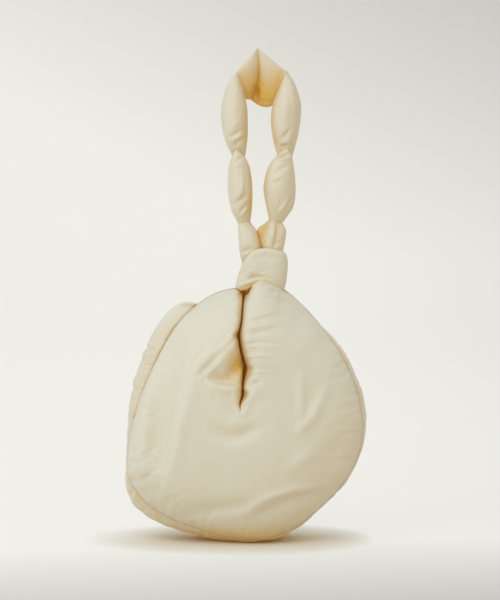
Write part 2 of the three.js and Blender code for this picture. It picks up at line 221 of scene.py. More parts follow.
def puffCloth(obj, sewn, cut, look):
    grow = look["grow"]
    start = readPoints(obj)
    writePoints(obj, start * grow)
    pickOnly(obj)
    obj.shape_key_add(name="sewn")
    cutKey = obj.shape_key_add(name="cut")
    cutKey.data.foreach_set("co", np.ascontiguousarray(cut * grow).ravel())
    group = obj.vertex_groups.new(name="sewn")
    for index in np.flatnonzero(sewn > 0.01):
        group.add([int(index)], float(sewn[index]), "REPLACE")
    cloth = obj.modifiers.new("cloth", "CLOTH")
    settings = cloth.settings
    settings.quality = 8
    settings.mass = look["mass"]
    settings.air_damping = 2
    settings.tension_stiffness = look["tension"]
    settings.compression_stiffness = look["tension"]
    settings.shear_stiffness = look["tension"] * 0.5
    settings.bending_stiffness = look["bending"]
    settings.use_pressure = True
    settings.uniform_pressure_force = look["pressure"]
    settings.vertex_group_mass = "sewn"
    settings.rest_shape_key = cutKey
    settings.effector_weights.gravity = 0
    cloth.collision_settings.use_collision = False
    cloth.collision_settings.use_self_collision = False
    for frameNumber in range(1, look["frames"] + 1):
        scene.frame_set(frameNumber)
    shaped = obj.evaluated_get(bpy.context.evaluated_depsgraph_get()).data
    flat = np.empty(len(start) * 3)
    shaped.vertices.foreach_get("co", flat)
    settled = flat.reshape(-1, 3) / grow
    obj.modifiers.remove(cloth)
    obj.shape_key_clear()
    obj.vertex_groups.clear()
    scene.frame_set(1)
    shift = settled - start
    reach = np.linalg.norm(shift, axis=1)
    cap = look["cap"] * mm
    print(f"  {obj.name}: cloth moved {reach.mean() / mm:.1f} mm, at most {reach.max() / mm:.1f}")
    writePoints(obj, start + shift * (cap * np.tanh(reach / cap) / np.maximum(reach, 1e-9))[:, None])


# Body: where the panels, the gusset and the slit run, in millimetres as x and z from the front

body = {
    "seam": [  # from the slit down the right side, along the floor and up the left side
        (-2, 290), (5, 299), (19, 303), (45, 289), (74, 262), (109, 216), (130, 163), (131, 112), (111, 69),
        (72, 30), (42, 12), (8, 3), (-40, 12), (-98, 35), (-129, 66), (-136, 102), (-120, 171), (-85, 242),
        (-55, 273), (-33, 286), (-12, 291), (-2, 290),
    ],
    "gussetEnds": (4, 18),  # the seam points where the gusset starts and stops
    "ridge": [  # how far the gusset stands out, one point for each seam point between its ends
        (77, 257), (112, 219), (135, 168), (138, 122), (119, 72), (76, 27), (44, 5), (8, 0), (-44, 1),
        (-105, 22), (-136, 52), (-138, 104), (-132, 174), (-107, 239), (-75, 281),
    ],
    "rim": [  # height, and half the gusset's width there
        (0, 34), (150, 34), (215, 30), (250, 19), (270, 1.5), (288, -0.3), (294, 7), (302, 12),
    ],
    "swell": 75,  # how far the panels stand out in the middle
    "slit": [  # height and place of the slit's own line, from its foot to its top
        (157, -6), (163, -7), (173, -4.6), (188, -3.8), (205, -2.4), (216, -4.8), (229, -7.4),
        (241, -8.8), (257, -5), (272, -3.8), (290, -2),
    ],
    "lipGaps": [  # height, and how far the left and right lips stand off that line
        (157, 0.1, 0.1), (160, 0.8, 0.7), (165, 1.1, 1.4), (171, 1.3, 4.4), (176, 1.3, 6),
        (181, 1.3, 2.2), (190, 1.2, 3.6), (197, 1.2, 7), (203, 1.2, 8.4), (210, 1.2, 5),
        (218, 1.2, 3.6), (229, 1.2, 3.6), (236, 1.8, 3.8), (241, 4.2, 3.4), (247, 1.5, 2.6),
        (253, 1.2, 1.8), (262, 1.3, 1.2), (275, 1.4, 1.4), (281, 2.4, 2.6), (285, 3.8, 4),
        (290.5, 6, 6.4),
    ],
    "lipRadii": [  # height, and how round the left and right lips are
        (155, 2, 2), (163, 5, 5), (175, 8, 8), (190, 10, 10), (205, 12, 12), (225, 8, 10), (250, 5, 8),
        (275, 5, 8), (296, 6, 8),
    ],
    "lipDepth": 1.1,
    "wallDepth": 13,  # how far the cloth runs into the slit
}
seam = lineThrough(body["seam"])
gussetStart, gussetStop = (seam["knots"][i] for i in body["gussetEnds"])
ridgeLine = np.array(body["ridge"], float)
ridgeKnots = seam["knots"][body["gussetEnds"][0]:body["gussetEnds"][1] + 1]
slitFoot, slitTop = (np.array(body["slit"][i][::-1], float) for i in (0, -1))


def rimDepth(z):
    return readRows(body["rim"], z)[0]


def slitLine(z):
    return readRows(body["slit"], z)[0]


def slitReach(x, z):  # how far a point is from the slit; below its foot it counts as far away
    return np.where(z > slitFoot[1], np.abs(x - slitLine(z)), 60)


def ridgeAt(share):
    line = lineThrough(np.column_stack([ridgeLine, ridgeKnots]))["samples"]
    return np.stack([np.interp(share, line[:, 2], line[:, k]) for k in (0, 1)], axis=-1)


# Front and back panels: domes whose rays leave the foot of the slit, with both lips of the slit rolled in

panelLook = {
    "columns": 220,
    "rows": 52,
    "wallShare": 0.032,  # share of the columns that line the slit
    "domeRoundness": 2.7,
    "domePower": 0.55,
    "overhang": 1 / 140,  # share by which the cloth bulges past the seam, and how far out that starts
    "overhangFrom": 0.7,
    "slitBend": 40,  # how far beside the slit its own line bends the cloth
    "lipReach": (8, 1.2),  # how far a lip pushes the cloth aside, and how much farther for each mm of gap
    "backGap": 0.3,  # share of the lips' gaps at the back
    "slitPaintedShade": (0.5, 3.0),  # how much painted warm shade the lips get, and how far that reaches
    "thickness": 4.0,
    "fill": 0.55,
    "held": (1.2, 5, 10),  # so near the seam, the slit and its foot the cloth is held while it is filled
    "grow": 2,
    "mass": 0.004,
    "tension": 12,
    "bending": 0.04,
    "pressure": 16,
    "frames": 14,
    "cap": 4.0,
    "slack": 1.02,
    "softLumps": (52, 2.0),  # size and rise of the unevenness
    "fineLumps": (23, 0.6),
    "puckerRise": 0.8,
    "puckerPitch": 3.2,
    "puckerReach": 9.0,
    # folds as seen from the front, as x and height in the view
    "frontFolds": [
        (-11, (8, 24), (-68, 246), (-77, 219), (-84, 179), (-90, 139), (-95, 99), (-97, 74)),
        (3, (10, 6), (-52, 240), (-62, 180), (-74, 139), (-82, 99), (-88, 75)),
        (6, (12, 9), (-104, 214), (-113, 175), (-119, 130), (-120, 95), (-114, 66)),
        (1.6, (4, 7), (-34, 226), (-48, 208), (-63, 187)),
        (-1.8, (3.6, 3.2), (-27, 220), (-41, 203), (-55, 187)),
        (1.8, (4, 3.4), (-25, 210), (-39, 198), (-58, 184)),
        (-1, (3, 3), (-39, 228), (-53, 214), (-64, 198)),
        (-6, (2, 12), (2, 181), (-8, 182), (-20, 182.5), (-33, 184.5), (-46, 190)),
        (1.8, (7, 3), (-6, 175), (-25, 176), (-44, 182)),
        (-11, (7, 10), (-3, 218), (-8, 204), (-13, 195), (-24, 189)),
        (-0.8, (2.2, 2.2), (-38, 179), (-34, 173), (-31, 169)),
        (-0.7, (2, 2), (-28, 176), (-25, 171), (-23, 167)),
        (-0.7, (2, 2), (-20, 175), (-17, 170), (-16, 166)),
        (1.8, (2.2, 5), (-15, 160), (-9, 152), (-5, 148.5), (0, 152), (5, 162)),
        (3, (26, 9), (30, 264), (20, 215), (15, 190), (14, 160)),
        (-2, (4, 2.2), (-2, 249), (13, 254), (25, 257), (40, 256.5), (54, 253)),
        (0.9, (4, 3), (0, 256), (14, 258), (30, 262)),
        (-1.3, (3, 2.2), (0, 234), (14, 239), (28, 244), (42, 245)),
        (-0.8, (3, 2.4), (-1, 227), (14, 230), (32, 229)),
        (-2, (3, 2), (2, 183), (9, 182), (17, 185)),
        (1.8, (3, 6), (-3, 160), (4, 167), (12, 176)),
        (2, (5, 6), (62, 200), (63, 170), (62, 136)),
        (3, (7, 6), (93, 182), (76, 146), (56, 124)),
        (2, (8, 8), (80, 108), (64, 96), (44, 80)),
        (-3.2, (16, 16), (112, 128), (98, 100), (92, 76)),
        (2.6, (4, 6), (94, 66), (46, 58), (16, 47), (0, 34)),
        (-3.4, (9, 5), (92, 58), (50, 50), (24, 38), (8, 28)),
        (-3, (9, 8), (-88, 30), (-42, 38), (-10, 43), (10, 46)),
        (-3.6, (9, 7), (-46, 134), (-14, 121), (18, 134)),
        (1.8, (9, 9), (-22, 141), (-7, 139), (8, 141)),
    ],
    # painted warm shade where the cloth is seen warm and deep, laid out like the folds
    "frontPaintedShades": [
        (0.88, (5, 14), (-3, 224), (-5, 208), (-6, 197), (-8, 186)),
        (0.45, (2, 8), (-4, 187), (-18, 187), (-38, 189)),
        (0.4, (3, 4), (-6, 186), (-7, 176), (-7, 162)),
    ],
    # stuffed lobes beside the slit: middle, half width and height, and how far they stand out
    "lobes": [((-26, 234), (26, 36), 6.0), ((42, 236), (40, 40), 8.0)],
    "lobeFoot": (185, 215),  # the fine wrinkles start between these heights and fade away from the slit
    "lobeReach": 45,
    "streakRise": 1.6,
    "streakPitch": 3.6,
    "streakCentre": (40, 160),  # those on the left lobe run round this point
    "streakArch": (20, 0.007),  # those on the right one are arched: where, and how much
    "streakWander": (18, 5),  # size and reach of their wandering
    "streakLeast": 0.35,  # their strength between the patches where they are strong
    "bellyRise": 0.25,
    "bellyPitch": 5.0,
    "backFolds": [
        (-2.8, (10, 10), (70, 244), (84, 195), (90, 140), (92, 90)),
        (-2.2, (9, 9), (-66, 240), (-80, 190), (-84, 140)),
        (-2, (4, 4), (-22, 214), (-40, 200), (-58, 186)),
        (-4, (8, 3), (-2, 188), (14, 192), (38, 186)),
        (-1.4, (3, 4), (2, 246), (20, 250), (46, 246)),
        (-2.6, (7, 7), (-90, 60), (-40, 52), (0, 40)),
        (-2.6, (8, 8), (30, 128), (0, 118), (-36, 130)),
    ],
}


def panelPoints(u, r, facing, inset=0.0):
    look = panelLook
    wall = look["wallShare"]
    share = np.clip((u - wall) / (1 - 2 * wall), 0, 1)
    tuck = np.clip(np.maximum(wall - u, u - 1 + wall) / wall, 0, 1)
    rim = along(seam, share)
    outer = np.clip((r - look["overhangFrom"]) / (1 - look["overhangFrom"]), 0, 1)
    spread = r * (1 + look["overhang"] * np.sin(np.pi * outer))
    place = slitFoot + (rim - slitFoot) * spread[:, None]
    if inset:
        length = np.maximum(np.linalg.norm(rim - slitFoot, axis=1), 1)
        place = slitFoot + (place - slitFoot) * (1 - inset / length)[:, None]
    x, z = place[:, 0].copy(), place[:, 1].copy()
    above = easeStep(z, slitFoot[1] - 6, slitFoot[1] + 10)  # from the foot of the slit up

    rimGap = rimDepth(rim[:, 1])
    dome = np.clip(1 - np.clip(r, 0, 1) ** look["domeRoundness"], 0, 1) ** look["domePower"]
    depth = rimGap + (body["swell"] - inset - rimGap) * dome

    # both lips follow the slit's line and stand off it
    side = np.where(u < 0.5, 1.0, -1.0)
    straight = np.interp(z, (slitFoot[1], slitTop[1]), (slitFoot[0], slitTop[0]))
    gap = np.maximum(side * (x - straight), 0)
    x += (slitLine(z) - straight) * np.exp(-(gap / look["slitBend"]) ** 2)
    leftGap, rightGap = readRows(body["lipGaps"], z)
    lipGap = np.where(side > 0, rightGap, leftGap) * above * (1.0 if facing < 0 else look["backGap"])
    alone, each = look["lipReach"]
    push = lipGap * np.exp(-gap / (alone + each * lipGap))
    gap = gap + push

    # they roll in, and the cloth runs on into the slit
    leftRadius, rightRadius = readRows(body["lipRadii"], z)
    radius = np.where(side > 0, rightRadius, leftRadius)
    roll = np.clip((radius + lipGap - gap) / radius, 0, 1)
    depth -= above * body["lipDepth"] * radius * (1 - np.sqrt(np.clip(1 - roll ** 2, 0, 1)))
    near = np.exp(-(gap / look["slitBend"]) ** 2) * (z > slitFoot[1])
    x += side * (push - tuck * np.maximum(push - 0.05, 0)) * near
    wallDeep = body["wallDepth"] * easeStep(z, slitFoot[1] - 2, slitFoot[1] + 30)
    depth -= tuck * np.minimum(wallDeep, np.maximum(depth - rimGap * 0.5, 0))
    return np.stack([x, facing * depth, z], axis=-1), tuck


def seamReach(x, z):  # how far a point is from the seam, and how far along it
    line = along(seam, np.linspace(0, 1, 900))
    reach = np.full(len(x), 1e9)
    spot = np.zeros(len(x))
    for i in range(len(line)):
        off = np.hypot(x - line[i, 0], z - line[i, 1])
        nearer = off < reach
        reach = np.where(nearer, off, reach)
        spot = np.where(nearer, i / len(line) * seam["length"], spot)
    return reach, spot


def makePanel(name, facing):
    look = panelLook
    obj, u, v = newGrid(name, look["columns"], look["rows"])
    points, tuck = panelPoints(u, v, facing)
    giveAttribute(obj, "wall", tuck)
    writePoints(obj, points * mm)
    editMesh(obj, mergeDoubles(), facesOut())
    if readNormals(obj)[:, 1].mean() * facing < 0:
        editMesh(obj, lambda: bpy.ops.mesh.flip_normals())
    points = readPoints(obj) / mm
    tuck = readAttribute(obj, "wall")
    x, z = points[:, 0], points[:, 2]
    nearSeam, nearSlit, nearFoot = look["held"]
    sewn = np.maximum.reduce([
        tuck > 0, seamReach(x, z)[0] < nearSeam, slitReach(x, z) < nearSlit,
        np.hypot(x - slitFoot[0], z - slitFoot[1]) < nearFoot,
    ]).astype(float)
    middle = np.array([0, 0, slitFoot[1]])
    puffCloth(obj, sewn, ((points - middle) * look["slack"] + middle) * mm, look)
    smoother(obj)
    return obj


def sculptPanel(obj, facing):
    look = panelLook
    points = readPoints(obj) / mm
    normals = readNormals(obj)
    x, z = points[:, 0], points[:, 2]
    height = viewHeight(points, facing)
    reach, spot = seamReach(x, z)
    slitGap = slitReach(x, z)

    # folds and lobes move the cloth forwards, except where it is seen edge on
    size, rise = look["softLumps"]
    folds = lumps(x, z, size, 11) * rise
    folds += foldSum(x, height, look["frontFolds"] if facing < 0 else look["backFolds"])
    for (midX, midZ), (wide, tall), rise in look["lobes"]:
        folds += rise * np.exp(-((x - midX) / wide) ** 2 - ((height - midZ) / tall) ** 2)
    seen = np.maximum(easeStep(normals[:, 1] * facing, 0.05, 0.5), 1 - easeStep(slitGap, 6, 16))
    points[:, 1] += facing * folds * (seen * easeStep(reach, 0, 6))

    # puckers along the seam
    size, rise = look["fineLumps"]
    fine = lumps(x, z, size, 12) * rise
    pitch = look["puckerPitch"]
    pucker = ripple(spot, pitch, 5 + facing) + 0.8 * ripple(spot, pitch * 2.3, 9)
    fine += look["puckerRise"] * pucker * np.exp(-reach / look["puckerReach"])

    # fine wrinkles beside the slit
    lobe = easeStep(z, *look["lobeFoot"]) * np.exp(-slitGap / look["lobeReach"])
    centreX, centreZ = look["streakCentre"]
    archX, bend = look["streakArch"]
    size, wander = look["streakWander"]
    arcs = np.hypot(x - centreX, z - centreZ)
    slant = np.where(x < slitLine(z), arcs, z + bend * (x - archX) ** 2) + wander * lumps(x, z, size, 3)
    least = look["streakLeast"]
    patches = least + (1 - least) * easeStep(lumps(x, z, 18, 33), -0.25, 0.3)
    streaks = look["streakRise"] * ripple(slant, look["streakPitch"], 21) * patches
    fine += streaks * lobe * easeStep(slitGap, 1.5, 8)
    giveCreases(obj, slant, lobe * patches)

    # and a few upright ones on the belly
    belly = (1 - easeStep(z, 170, 215)) * easeStep(lumps(x, z, 40, 35), -0.1, 0.35)
    upright = ripple(x + 0.1 * z + 5 * lumps(x, z, 30, 36), look["bellyPitch"], 37)
    fine += look["bellyRise"] * upright * belly
    points += normals * (fine * easeStep(reach, 0.0, 3.0) * easeStep(slitGap, 0.0, 3.0))[:, None]
    writePoints(obj, points * mm)


# Gusset: the padded strip between the two panels, round the sides and the bottom

gussetLook = {
    "columns": 300,
    "rows": 34,
    "bulge": 0.8,
    "endRound": 0.022,  # share of the length over which each end closes
    "stand": 0.12,  # how far the strip rolls over the seam, as a share of how far it stands out
    "standReach": 0.7,
    "floorGap": 0.6,
    "thickness": 4.0,
    "fill": 0.6,
    "seamPaintedShade": 0.17,  # how much painted warm shade the strip gets beside the front seam, and right at it
    "seamLine": 0.5,
    "creaseShare": 0.7,
    "lumps": (26, 1.4),  # size and rise of the unevenness
    "waves": (11, 0.8),
    "puckerRise": 1.0,
    "puckerPitch": 3.4,
    "puckerReach": 0.34,
    "pinches": [  # creases across the strip: the seam point they start from, depth and width
        ((-97, 224), 3.4, 3.2), ((-104, 209), 1.4, 2.4), ((-119, 172), 1.8, 3), ((-127, 146), 1.4, 2.6),
        ((-134, 112), 1.6, 3), ((126, 176), 1.6, 3), ((131, 128), 1.4, 3), ((100, 56), 1.8, 3),
    ],
}


def gussetPoints(u, v, inset=0.0):
    look = gussetLook
    share = gussetStart + (gussetStop - gussetStart) * u
    across = 2 * v - 1
    rim = along(seam, share)
    ridge = ridgeAt(share)
    half = rimDepth(rim[:, 1])
    closing = np.sqrt(1 - (1 - np.clip(np.minimum(u, 1 - u) / look["endRound"], 0, 1)) ** 2)
    rise = np.clip(1 - across ** 2, 0, 1) ** look["bulge"] * closing
    place = rim + (ridge - rim) * rise[:, None]
    if inset:
        reach = np.linalg.norm(place - slitFoot, axis=1)
        place = slitFoot + (place - slitFoot) * (1 - inset / reach)[:, None]
    stand = np.linalg.norm(ridge - rim, axis=1) * look["stand"] * closing * half / body["rim"][0][1]
    beside = np.clip((1 - np.abs(across)) / look["standReach"], 0, 1)
    y = across * half + np.sign(across) * stand * np.sin(np.pi * beside)
    z = np.maximum(place[:, 1], look["floorGap"] + inset)
    return np.stack([place[:, 0], y, z], axis=-1)


def makeGusset():
    look = gussetLook
    obj, u, v = newGrid("gusset", look["columns"], look["rows"])
    points = gussetPoints(u, v)
    writePoints(obj, points * mm)
    editMesh(obj, facesOut())
    middle = readPoints(obj).mean(axis=0)
    if ((readPoints(obj) - middle) * readNormals(obj)).sum() < 0:
        editMesh(obj, lambda: bpy.ops.mesh.flip_normals())
    normals = readNormals(obj)
    spot = u * (gussetStop - gussetStart) * seam["length"]
    edge = 1 - np.abs(2 * v - 1)  # 0 at both seams, 1 in the middle
    endGap = np.minimum(u, 1 - u)
    rim = along(seam, gussetStart + (gussetStop - gussetStart) * u)

    def uneven(pitch, first, second):  # each seam has its own wave
        return np.where(v < 0.5, ripple(spot, pitch, first), ripple(spot, pitch, second))

    pitch = look["puckerPitch"]
    pucker = uneven(pitch, 3, 4) + 0.8 * uneven(pitch * 2.7, 6, 7)
    rise = look["puckerRise"] * pucker * np.exp(-edge / look["puckerReach"]) * easeStep(edge, 0, 0.12)
    size, swell = look["lumps"]
    pitch, wave = look["waves"]
    rise += lumps(spot, v * 70, size, 41) * swell
    rise += ripple(spot + 6 * lumps(spot, v * 70, 20, 42), pitch, 43) * wave
    for place, depth, width in look["pinches"]:
        reach = np.hypot(rim[:, 0] - place[0], rim[:, 1] - place[1])
        rise -= depth * np.exp(-(reach / width) ** 2) * easeStep(edge, 0.02, 0.3)
    rise *= easeStep(endGap, 0.012, 0.05)
    lifted = points + normals * rise[:, None]
    lifted[:, 2] = np.maximum(lifted[:, 2], look["floorGap"])
    writePoints(obj, lifted * mm)
    # painted warm shade beside the seams, strongest right at them
    broad = look["seamPaintedShade"] * np.clip(1 - 1.4 * edge, 0, 1)
    paintedShadeMark = np.maximum(broad, look["seamLine"] * np.exp(-edge / 0.04))
    giveAttribute(obj, "tuck", paintedShadeMark * easeStep(endGap, 0.01, 0.05))
    share = look["creaseShare"] * np.exp(-edge / 0.3) * easeStep(endGap, 0.02, 0.06)
    giveCreases(obj, spot + 0.3 * v, share)
    return obj


# Materials

def linear(red, green, blue):
    def one(value):
        value /= 255
        return value / 12.92 if value <= 0.04045 else ((value + 0.055) / 1.055) ** 2.4
    return (one(red), one(green), one(blue), 1.0)


class Wire:  # a socket that can be used in sums
    def __init__(self, finish, socket):
        self.finish = finish
        self.socket = socket

    def sum(self, operation, *values):
        return self.finish.node("ShaderNodeMath", {"operation": operation}, dict(enumerate(values)))

    def __add__(self, other):
        return self.sum("ADD", self, other)

    def __sub__(self, other):
        return self.sum("SUBTRACT", self, other)

    def __rsub__(self, other):
        return self.sum("SUBTRACT", other, self)

    def __mul__(self, other):
        return self.sum("MULTIPLY", self, other)

    def __pow__(self, other):
        return self.sum("POWER", self, other)

    __radd__ = __add__
    __rmul__ = __mul__


class Finish:
    def __init__(self, owner, shader="Principled BSDF"):
        owner.use_nodes = True
        self.owner = owner
        self.tree = owner.node_tree
        self.shader = self.tree.nodes[shader]

    def node(self, kind, settings, values, out=0):
        made = self.tree.nodes.new(kind)
        for key, value in settings.items():
            setattr(made, key, value)
        for key, value in values.items():
            self.join(value, made.inputs[key])
        return Wire(self, made.outputs[out])

    def mix(self, share, first, second):
        return self.node("ShaderNodeMix", {"data_type": "RGBA"}, {0: share, 6: first, 7: second}, 2)

    def clamp(self, value, low=0.0, high=1.0):
        return self.node("ShaderNodeClamp", {}, {0: value, 1: low, 2: high})

    def largest(self, first, second):
        return self.node("ShaderNodeMath", {"operation": "MAXIMUM"}, {0: first, 1: second})

    def painted(self, name):  # a value painted on the points
        return self.node("ShaderNodeAttribute", {"attribute_name": name}, {}, "Fac")

    def place(self):  # in metres, fixed to the piece
        return self.node("ShaderNodeTexCoord", {}, {}, "Object")

    def noise(self, scale, detail):
        return self.node("ShaderNodeTexNoise", {}, {"Vector": self.place(), "Scale": scale, "Detail": detail})

    def parts(self, value):  # the three parts of a place or a direction
        return [self.node("ShaderNodeSeparateXYZ", {}, {0: value}, axis) for axis in "XYZ"]

    def join(self, value, socket):
        if isinstance(value, Wire):
            self.tree.links.new(value.socket, socket)
        else:
            socket.default_value = value

    def cover(self, share, other):  # lays another shader over this one
        own = Wire(self, self.shader.outputs[0])
        mixed = self.node("ShaderNodeMixShader", {}, {0: share, 1: own, 2: other})
        self.join(mixed, self.tree.nodes["Material Output"].inputs["Surface"])

    def feed(self, values):
        for key, value in values.items():
            self.join(value, self.shader.inputs[key])


shellLook = {
    "cream": (230, 230, 217),
    "shade": (226, 216, 193),
    "shadeShares": (0.4, 1.0, 0.5),  # what clouds add as random tone, and facing down and facing right as painted shade
    "creaseShade": (204, 192, 164),  # painted shade in the bottoms of the fine wrinkles
    # the colour of the painted warm shade
    "shadeOchre": (216, 176, 74),
    # the painted dark shade of the inmost places
    "inmostShade": (96, 56, 6),
    "glow": (214, 160, 50),  # painted glow, standing in for light that comes through the cloth where it is folded
    # painted glow of the inmost places
    "deepGlow": (205, 112, 4),
    # how much and how bright the painted glow is, and that of the inmost places
    "glowShare": 0.5,
    "glowStrength": 0.26,
    "deepStrength": 0.16,
    "nearReach": 0.028,  # places closed in within this reach get painted warm shade
    "closed": (0.9, 1.4),  # how much, and how late
    "inmost": (5.0, 4.1),  # how steeply the painted warm shade turns to the painted dark inmost shade, and where
    # how strongly the painted warm shade mixes in its colour
    "paintedWarmth": 1.15,
    "roughness": 0.5,
    "cloudRoughness": 0.08,
    "cloudScale": 14.0,
    "crinkleScale": 38.0,
    "crinkle": 0.45,
    "weaveScale": 900.0,
    "weave": 0.06,
    "wrinkleScale": 0.45,
    "wrinkleWander": 6.0,
    "wrinkleDark": 2.2,
    "wrinkle": 2.6,
    "bump": (0.5, 0.0012),  # strength, and its height in metres
    "sheen": (0.7, 0.3),
    "shine": 0.45,
}


def shellFabric():
    look = shellLook
    finish = Finish(bpy.data.materials.new("cream_nylon"))
    cloud = finish.noise(look["cloudScale"], 3.0)
    # painted shade: facing down and facing right darken and warm the cream, the clouds vary its tone at
    # random
    right, _, up = finish.parts(finish.node("ShaderNodeNewGeometry", {}, {}, "Normal"))
    cloudy, low, aside = look["shadeShares"]
    cloudAndFacingShade = finish.clamp(cloud * cloudy + (0.0 - up) * low + right * aside)
    base = finish.mix(cloudAndFacingShade, linear(*look["cream"]), linear(*look["shade"]))

    # folded and closed-in places get painted warm shade and a painted glow, the inmost ones a painted dark
    # shade
    clear = finish.node("ShaderNodeAmbientOcclusion", {"samples": 6}, {"Distance": look["nearReach"]}, "AO")
    much, late = look["closed"]
    deep = finish.largest(finish.painted("tuck"), ((1.0 - clear) * much) ** late)
    steep, start = look["inmost"]
    inmost = finish.clamp(deep * steep - start)
    glow = finish.mix(deep * look["glowShare"], (0, 0, 0, 1), linear(*look["glow"]))

    # crinkles, weave and the fine wrinkles along painted lines, with painted shade in their bottoms
    crinkle = finish.node("ShaderNodeTexNoise", {"noise_type": "RIDGED_MULTIFRACTAL"}, {
        "Vector": finish.place(), "Scale": look["crinkleScale"], "Detail": 3.0, "Distortion": 0.6})
    weave = finish.noise(look["weaveScale"], 1.0)
    share = finish.painted("creaseShare")
    wrinkle = finish.node("ShaderNodeTexNoise", {"noise_dimensions": "1D"}, {
        "W": finish.painted("crease") + cloud * look["wrinkleWander"],
        "Scale": look["wrinkleScale"], "Detail": 2.0})
    # painted shade in the wrinkles' bottoms
    wrinkleShade = finish.clamp((0.5 - wrinkle) * share * look["wrinkleDark"])
    base = finish.mix(wrinkleShade, base, linear(*look["creaseShade"]))
    relief = crinkle * look["crinkle"] + weave * look["weave"] + wrinkle * share * look["wrinkle"]
    strength, height = look["bump"]
    bump = finish.node("ShaderNodeBump", {}, {"Strength": strength, "Distance": height, "Height": relief})

    finish.feed({
        "Base Color": finish.mix(finish.clamp(deep * look["paintedWarmth"]), base, linear(*look["shadeOchre"])),
        "Roughness": look["roughness"] + cloud * look["cloudRoughness"], "Normal": bump,
        "Emission Color": glow, "Emission Strength": look["glowStrength"],
        "Sheen Weight": look["sheen"][0], "Sheen Roughness": look["sheen"][1],
        "Specular IOR Level": look["shine"],
    })
    # painted dark shade, with a painted glow, laid over the inmost places
    paintedInmostShader = finish.node("ShaderNodeBsdfPrincipled", {}, {
        "Base Color": linear(*look["inmostShade"]), "Roughness": 1.0, "Specular IOR Level": 0.0,
        "Emission Color": linear(*look["deepGlow"]), "Emission Strength": look["deepStrength"]})
    finish.cover(inmost, paintedInmostShader)
    return finish.owner


shell = shellFabric()


def finishPiece(obj, bodyName, nodes, material=shell):
    obj.data.materials.clear()
    obj.data.materials.append(material)
    pickOnly(obj)
    bpy.ops.object.shade_smooth()
    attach(obj, bodyName)
    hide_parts(*nodes)


# Making the body

def makeBody():
    look = panelLook
    paintedWarmth, fade = look["slitPaintedShade"]
    for side, facing in (("front", -1), ("back", 1)):
        name = f"{side}_panel"
        obj = makePanel(name, facing)
        sculptPanel(obj, facing)
        points = readPoints(obj) / mm
        x, z = points[:, 0], points[:, 2]
        # painted warm shade along the slit's lips, at the front's marked places and, darkest, in the slit's
        # walls
        tuck = paintedWarmth * np.exp(-np.abs(x - slitLine(z)) / fade) * easeStep(z, slitFoot[1], slitFoot[1] + 9)
        if facing < 0:
            tuck = np.maximum(tuck, strongestPaintedShade(x, viewHeight(points, facing), look["frontPaintedShades"]))
        giveAttribute(obj, "tuck", np.maximum(tuck, easeStep(readAttribute(obj, "wall"), 0, 0.6)))
        applyModifier(obj, "SOLIDIFY", thickness=look["thickness"] * mm, offset=-1)
        pads = [f"{side}_{part}_wadding" for part in ("left", "right", "lower")]
        finishPiece(obj, "bag", [f"{side}_cover", *pads])
        print(name, "made")
    obj = makeGusset()
    applyModifier(obj, "SOLIDIFY", thickness=gussetLook["thickness"] * mm, offset=-1)
    finishPiece(obj, "bag", ["gusset_cover", "gusset_wadding"])
    print("gusset made")


makeBody()


# Long handle: a stuffed strap sewn across into cells, drawn in at each sewn line

cellLook = {
    "columns": 52,
    "rows": 44,
    "grow": 10,
    "mass": 0.001,
    "tension": 15,
    "bending": 0.008,
    "pressure": 4,
    "frames": 20,
    "cap": 4.0,
    "wider": 1.03,  # the cloth is cut this much wider and longer than the cell
    "longer": 1.18,
    "fuller": 1.06,
    "fill": 0.7,
    "sewnReach": 2.0,  # how far from its sewn lines the cloth is held
    "gathers": (9, 1.6),  # how many there are round the cell, and how wide
    "gatherRise": 0.8,
    "gatherReach": 9,
    "lumps": (16, 1.1),  # size and rise of the unevenness
    # painted warm shade on the side facing into the loop, and the least of it everywhere
    "innerPaintedShade": 0.5,
    "leastPaintedShade": 0.09,
    "creaseShare": 0.18,
}
